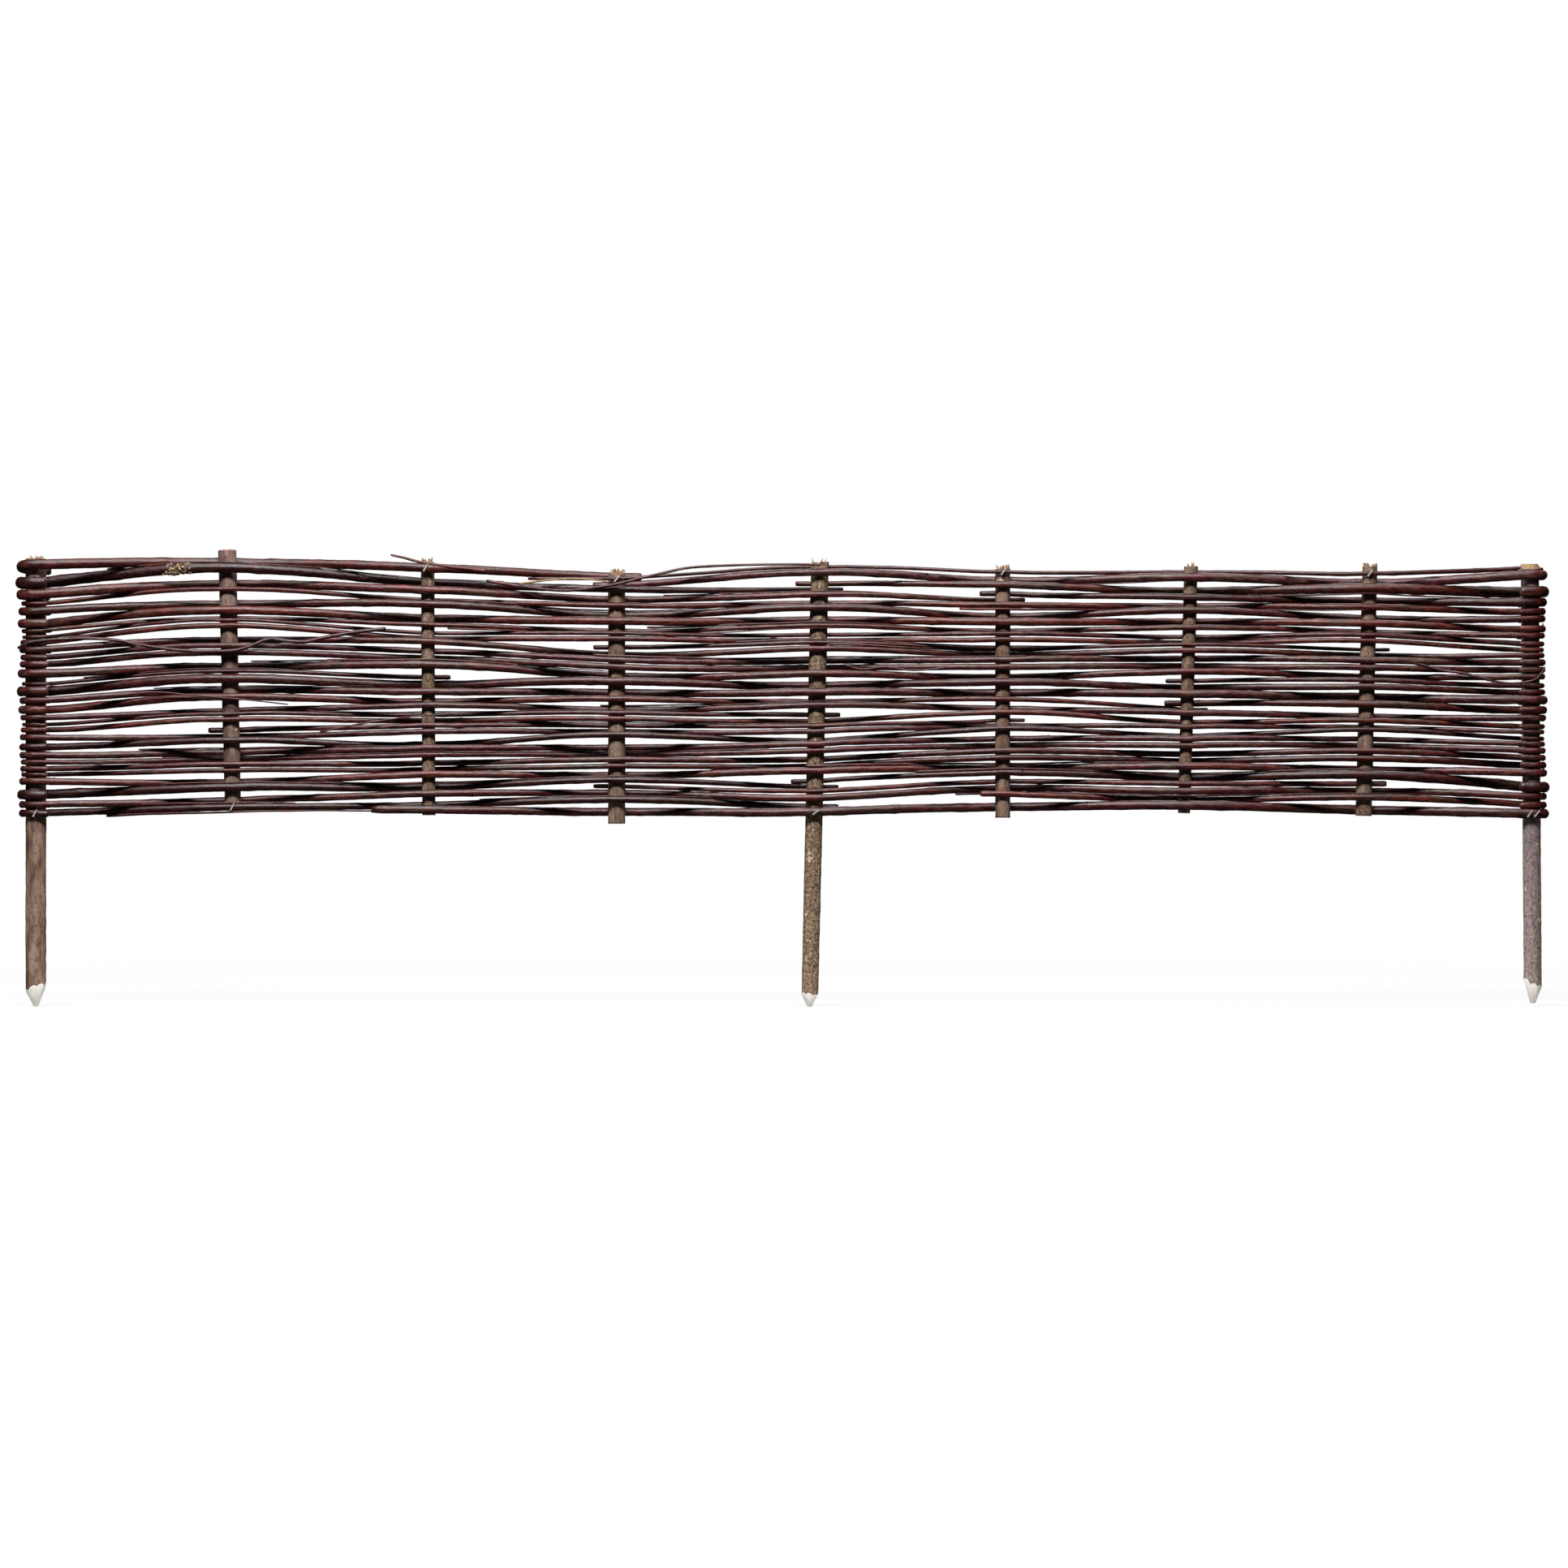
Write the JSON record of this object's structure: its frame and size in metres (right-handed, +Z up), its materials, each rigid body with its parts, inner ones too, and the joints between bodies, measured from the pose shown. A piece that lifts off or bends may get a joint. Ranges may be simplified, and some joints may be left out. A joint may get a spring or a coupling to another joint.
{
  "type": "woven garden fence",
  "caption": "Low woven willow edging fence: horizontal rods woven round upright sticks, with pointed stakes at the ends and middle to push into soil.",
  "frame": {"origin": "on the centre stake's axis at the ground line, level with the lower edge of the weave there", "axes": "+X along the fence to the right as seen from the front, the front faces -Y, +Z up"},
  "size_m": [1.2055, 0.0326, 0.3594],
  "materials": {
    "stake_bark": "rough bark",
    "willow_rod_red": "dry satin bark",
    "willow_rod_brown": "dry satin bark",
    "willow_rod_purple": "dry satin bark",
    "galvanised_wire": "bright zinc"
  },
  "bodies": {
    "root": {"centre_stake": "stake_bark", "left_stake": "stake_bark", "right_stake": "stake_bark", "rod_row_01": "willow_rod_purple", "rod_row_02_a": "willow_rod_brown", "rod_row_02_b": "willow_rod_purple", "rod_row_03_a": "willow_rod_red", "rod_row_03_b": "willow_rod_brown", "rod_row_04_a": "willow_rod_purple", "rod_row_04_b": "willow_rod_red", "rod_row_05": "willow_rod_brown", "rod_row_06_a": "willow_rod_red", "rod_row_06_b": "willow_rod_brown", "rod_row_07_a": "willow_rod_purple", "rod_row_07_b": "willow_rod_red", "rod_row_08": "willow_rod_brown", "rod_row_09_a": "willow_rod_red", "rod_row_09_b": "willow_rod_brown", "rod_row_10_a": "willow_rod_purple", "rod_row_10_b": "willow_rod_red", "rod_row_11": "willow_rod_brown", "rod_row_12_a": "willow_rod_red", "rod_row_12_b": "willow_rod_brown", "rod_row_13": "willow_rod_purple", "rod_row_14_a": "willow_rod_brown", "rod_row_14_b": "willow_rod_purple", "rod_row_14_c": "willow_rod_brown", "rod_row_15": "willow_rod_red", "rod_row_16_a": "willow_rod_purple", "rod_row_16_b": "willow_rod_red", "rod_row_17_a": "willow_rod_brown", "rod_row_17_b": "willow_rod_purple", "rod_row_18_a": "willow_rod_red", "rod_row_18_b": "willow_rod_brown", "rod_row_19": "willow_rod_purple", "rod_row_20": "willow_rod_brown", "rod_row_21": "willow_rod_red", "rod_row_22": "willow_rod_purple", "rod_row_23_a": "willow_rod_brown", "rod_row_23_b": "willow_rod_purple", "rod_row_24_a": "willow_rod_red", "rod_row_24_b": "willow_rod_brown", "rod_row_25_a": "willow_rod_purple", "rod_row_25_b": "willow_rod_red", "rod_row_26": "willow_rod_brown", "staples": "galvanised_wire", "upright_2": "stake_bark", "upright_3": "stake_bark", "upright_4": "stake_bark", "upright_6": "stake_bark", "upright_7": "stake_bark", "upright_8": "stake_bark"}
  },
  "joints": []
}
